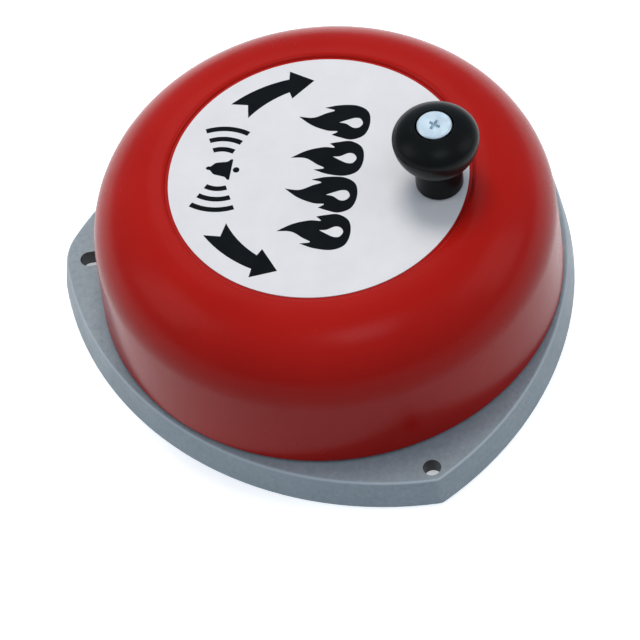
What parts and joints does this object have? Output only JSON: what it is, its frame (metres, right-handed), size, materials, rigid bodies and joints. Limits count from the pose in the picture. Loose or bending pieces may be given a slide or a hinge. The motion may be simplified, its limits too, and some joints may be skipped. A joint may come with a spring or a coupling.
{
  "type": "fire alarm bell",
  "caption": "Hand-cranked fire alarm bell: domed gong on a three-cornered wall base, turned by an off-centre mushroom knob that whirls internal hammers.",
  "frame": {"origin": "on the spindle axis, in the plane of the wall face of the base", "axes": "+Z out of the wall along the spindle, +Y towards the slotted fixing corner (the top as hung), +X to the right seen from the front"},
  "size_m": [0.2202, 0.2242, 0.1177],
  "materials": {
    "grey_casting": "semi-gloss grey paint on cast aluminium",
    "red_paint": "gloss red enamel on pressed steel",
    "label_plate": "satin silver-white printed plate",
    "black_grip": "satin black moulding",
    "zinc_plate": "bright zinc plate",
    "bare_steel": "machined steel, lightly oiled",
    "bronze": "oil-filled sintered bronze",
    "brass": "machined brass",
    "nylon": "natural nylon"
  },
  "bodies": {
    "base": {"base_plate": "grey_casting", "spindle": "bare_steel", "spindle_locknut": "zinc_plate", "hub_thrust_washer": "bronze", "retaining_washer": "zinc_plate", "retaining_nut": "zinc_plate", "striker_post": "bare_steel", "striker_post_washer": "zinc_plate", "striker_post_nut": "zinc_plate", "rotor_thrust_washer": "bronze", "rotor_circlip": "bare_steel"},
    "gong": {"gong_shell": "red_paint", "label_disc": "label_plate", "gong_hub": "bare_steel", "hub_rivets": "bare_steel", "hub_bush_lower": "bronze", "hub_bush_upper": "bronze", "drive_gear": "bare_steel", "gear_screws": "zinc_plate", "knob_sleeve": "brass", "knob_thrust_washer": "nylon", "knob_screw": "zinc_plate", "knob_backing_washer": "zinc_plate", "knob_nut": "zinc_plate"},
    "knob": {"knob": "black_grip"},
    "rotor": {"striker_pinion": "brass", "rotor_plate_lower": "zinc_plate", "rotor_plate_upper": "zinc_plate", "hammer_pins": "bare_steel"},
    "hammer_a": {"hammer_a": "bare_steel"},
    "hammer_b": {"hammer_b": "bare_steel"}
  },
  "joints": [
    {"name": "gong_turn", "type": "hinge", "parent": "base", "child": "gong", "pos_m": [0, 0, 0.05], "axis": [0, 0, 1], "continuous": true},
    {"name": "knob_spin", "type": "hinge", "parent": "gong", "child": "knob", "pos_m": [0, -0.051, 0.1], "axis": [0, 0, 1], "continuous": true},
    {"name": "striker_spin", "type": "hinge", "parent": "base", "child": "rotor", "pos_m": [0, 0.0615, 0.03], "axis": [0, 0, 1], "continuous": true},
    {"name": "hammer_a_swing", "type": "hinge", "parent": "rotor", "child": "hammer_a", "pos_m": [0.015, 0.0615, 0.0315], "axis": [0, 0, 1], "range_deg": [-120, 120]},
    {"name": "hammer_b_swing", "type": "hinge", "parent": "rotor", "child": "hammer_b", "pos_m": [-0.015, 0.0615, 0.0315], "axis": [0, 0, 1], "range_deg": [-120, 120]}
  ],
  "couplings": [
    {"joint": "striker_spin", "follows": "gong_turn", "ratio": -4.125}
  ]
}
